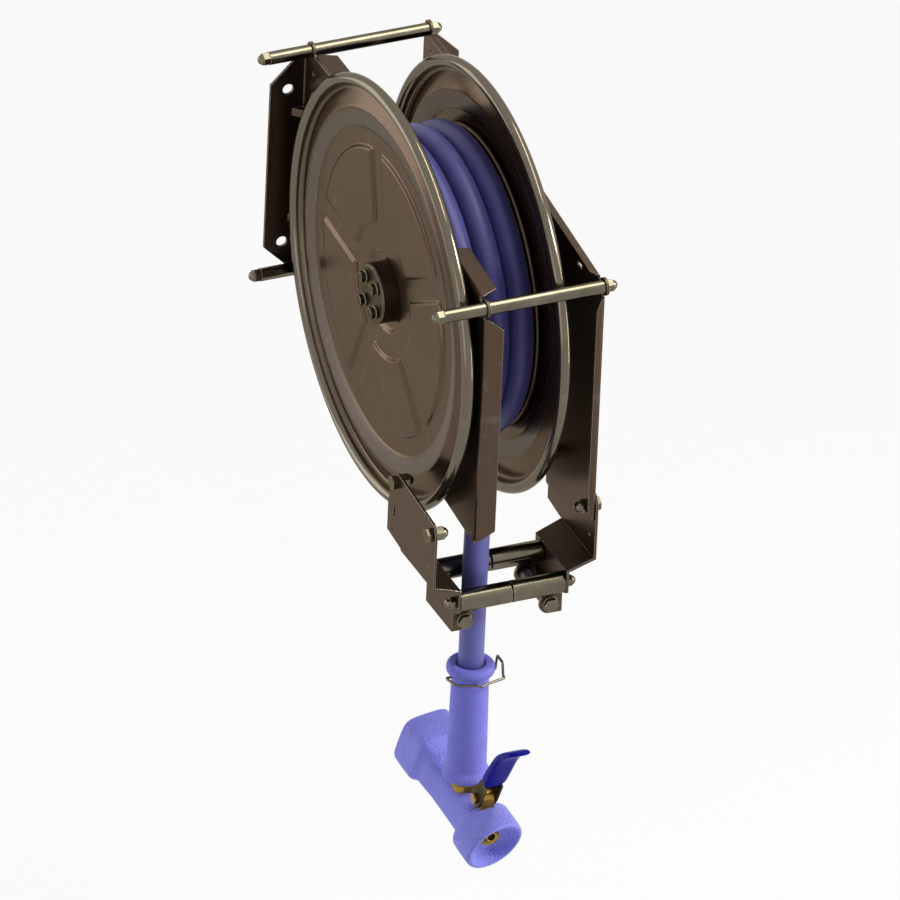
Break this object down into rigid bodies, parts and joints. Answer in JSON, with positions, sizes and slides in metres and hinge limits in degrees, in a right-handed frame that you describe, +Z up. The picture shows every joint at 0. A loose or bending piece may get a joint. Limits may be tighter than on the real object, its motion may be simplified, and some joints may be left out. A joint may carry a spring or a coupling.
{
  "type": "fire hose reel",
  "caption": "Open spring-rewind hose reel on a wall bracket, with pressed side discs, a roller hose guide and a hanging trigger spray gun.",
  "frame": {"origin": "centre of the four wall holes, on the wall plane behind the bracket", "axes": "+X along the axle to the swivel inlet on the right, -Y away from the wall to the front, +Z up"},
  "size_m": [0.239, 0.5301, 0.7312],
  "materials": {
    "steel_sheet": "satin",
    "steel_bright": "polished",
    "steel_machined": "satin",
    "spring_steel": "satin",
    "brass": "satin",
    "hose_rubber": "matte",
    "gun_rubber": "matte",
    "lever_plastic": "gloss",
    "bush_plastic": "matte",
    "roller_dark": "satin",
    "seal_rubber": "matte"
  },
  "bodies": {
    "bracket": {"left_plate": "steel_sheet", "right_plate": "steel_sheet", "tie_tubes": "steel_bright", "tie_rods": "steel_bright", "tie_nuts": "steel_bright", "spring_arbor": "steel_machined", "left_bush": "bush_plastic", "right_housing": "steel_machined", "right_bush": "bush_plastic", "bearing_screws": "steel_bright", "hose_outer_turns": "hose_rubber", "hose_free": "hose_rubber", "pawl_pin": "steel_bright", "pawl_spring": "spring_steel", "left_arm": "steel_sheet", "right_arm": "steel_sheet", "arm_bolts": "steel_bright", "arm_nuts": "steel_bright", "roller_rods": "steel_bright", "rod_nuts": "steel_bright", "side_bolts": "steel_bright", "side_nuts": "steel_bright", "handle_sleeve": "gun_rubber", "hose_tail": "brass", "valve_body": "brass", "gun_cover": "gun_rubber", "nozzle": "brass", "lever_pin": "brass"},
    "drum": {"outer_disc": "steel_sheet", "hub_boss": "steel_sheet", "hub_bolts": "steel_bright", "shaft": "steel_machined", "left_flange": "steel_sheet", "drum_core": "steel_sheet", "spring_wall": "steel_sheet", "power_spring": "spring_steel", "outlet_pipe": "brass", "right_flange": "steel_sheet", "hub_spacer": "steel_machined", "right_disc": "steel_sheet", "right_hub": "steel_machined", "drum_bolts": "steel_bright", "ratchet_wheel": "steel_machined", "hose_inner_layers": "hose_rubber", "swivel_seals": "seal_rubber", "swivel_ring": "steel_machined"},
    "swivel": {"swivel_body": "brass"},
    "pawl": {"pawl": "steel_machined"},
    "front_roller_l": {"roller_front_left": "steel_bright"},
    "front_roller_r": {"roller_front_right": "steel_bright"},
    "rear_roller_l": {"roller_rear_left": "steel_bright"},
    "rear_roller_r": {"roller_rear_right": "steel_bright"},
    "side_roller_l": {"side_roller_left": "roller_dark"},
    "side_roller_r": {"side_roller_right": "roller_dark"},
    "lever": {"lever_fork": "steel_machined", "lever_grip": "lever_plastic"},
    "stem": {"valve_stem": "steel_machined"},
    "latch": {"wire_latch": "steel_bright"}
  },
  "joints": [
    {"name": "drum_spin", "type": "hinge", "parent": "bracket", "child": "drum", "pos_m": [-0.01655, -0.23, -0.015], "axis": [1, 0, 0], "continuous": true},
    {"name": "swivel_turn", "type": "hinge", "parent": "bracket", "child": "swivel", "pos_m": [0.08845, -0.23, -0.015], "axis": [1, 0, 0], "continuous": true},
    {"name": "pawl_swing", "type": "hinge", "parent": "bracket", "child": "pawl", "pos_m": [0.04315, -0.2, 0.041], "axis": [1, 0, 0], "range_deg": [0, 6], "stiffness_Nm_per_rad": 0.05},
    {"name": "front_roller_l_spin", "type": "hinge", "parent": "bracket", "child": "front_roller_l", "pos_m": [-0.04695, -0.434, -0.247], "axis": [1, 0, 0], "continuous": true},
    {"name": "front_roller_r_spin", "type": "hinge", "parent": "bracket", "child": "front_roller_r", "pos_m": [0.00705, -0.434, -0.247], "axis": [1, 0, 0], "continuous": true},
    {"name": "rear_roller_l_spin", "type": "hinge", "parent": "bracket", "child": "rear_roller_l", "pos_m": [-0.04695, -0.381, -0.242], "axis": [1, 0, 0], "continuous": true},
    {"name": "rear_roller_r_spin", "type": "hinge", "parent": "bracket", "child": "rear_roller_r", "pos_m": [0.00705, -0.381, -0.242], "axis": [1, 0, 0], "continuous": true},
    {"name": "side_roller_l_spin", "type": "hinge", "parent": "bracket", "child": "side_roller_l", "pos_m": [-0.06495, -0.3985, -0.272], "axis": [0, 1, 0], "continuous": true},
    {"name": "side_roller_r_spin", "type": "hinge", "parent": "bracket", "child": "side_roller_r", "pos_m": [0.02505, -0.3985, -0.272], "axis": [0, 1, 0], "continuous": true},
    {"name": "lever_squeeze", "type": "hinge", "parent": "bracket", "child": "lever", "pos_m": [-0.04505, -0.4525, -0.462], "axis": [1, 0, 0], "range_deg": [-22, 0], "stiffness_Nm_per_rad": 1.5, "springref_deg": 2.86},
    {"name": "stem_slide", "type": "slide", "parent": "bracket", "child": "stem", "axis": [0, 1, 0], "range_m": [0, 0.004]},
    {"name": "latch_swing", "type": "hinge", "parent": "bracket", "child": "latch", "pos_m": [-0.04505, -0.4065, -0.35], "axis": [1, 0, 0], "range_deg": [-10, 25]}
  ],
  "couplings": [
    {"joint": "stem_slide", "follows": "lever_squeeze", "m_per_rad": -0.0104}
  ]
}
